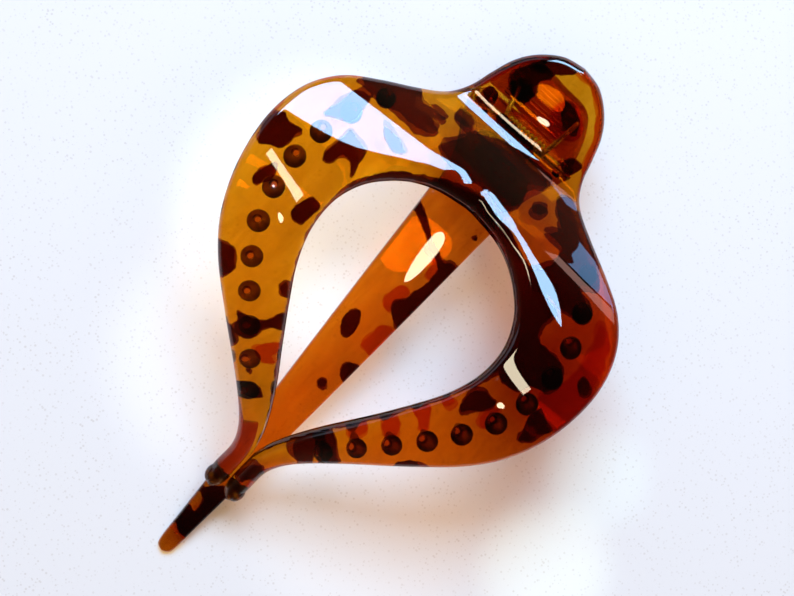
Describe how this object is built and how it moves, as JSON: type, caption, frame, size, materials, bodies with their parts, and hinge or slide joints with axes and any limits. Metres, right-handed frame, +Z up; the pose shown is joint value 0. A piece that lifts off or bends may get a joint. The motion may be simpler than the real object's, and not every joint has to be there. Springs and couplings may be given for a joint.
{
  "type": "spring hair clip",
  "caption": "Large spring hair clip: an arched upper jaw with a teardrop opening and tapered pegs closes on a flat tongue, and two thumb tabs at the hinge open it.",
  "frame": {"origin": "bottom centre of the bounding box, on the surface that the clip rests on", "axes": "+X from the thumb tabs to the tip, +Y across the clip, +Z up; the clip is closed and rests on its lower tab and its tongue's tip"},
  "size_m": [0.1369, 0.0904, 0.0301],
  "materials": {
    "tortoiseshell": "polished translucent amber plastic with dark flecks",
    "spring_steel": "bright drawn wire"
  },
  "bodies": {
    "lower": {"lower_jaw": "tortoiseshell", "hinge_pin": "spring_steel", "spring_coil": "spring_steel"},
    "upper": {"upper_jaw": "tortoiseshell", "spring_leg": "spring_steel"}
  },
  "joints": [
    {"name": "jaw_hinge", "type": "hinge", "parent": "lower", "child": "upper", "pos_m": [-0.04971, 0, 0.01182], "axis": [0, -1, 0], "range_deg": [0, 40], "stiffness_Nm_per_rad": 0.15, "springref_deg": -45.84}
  ]
}
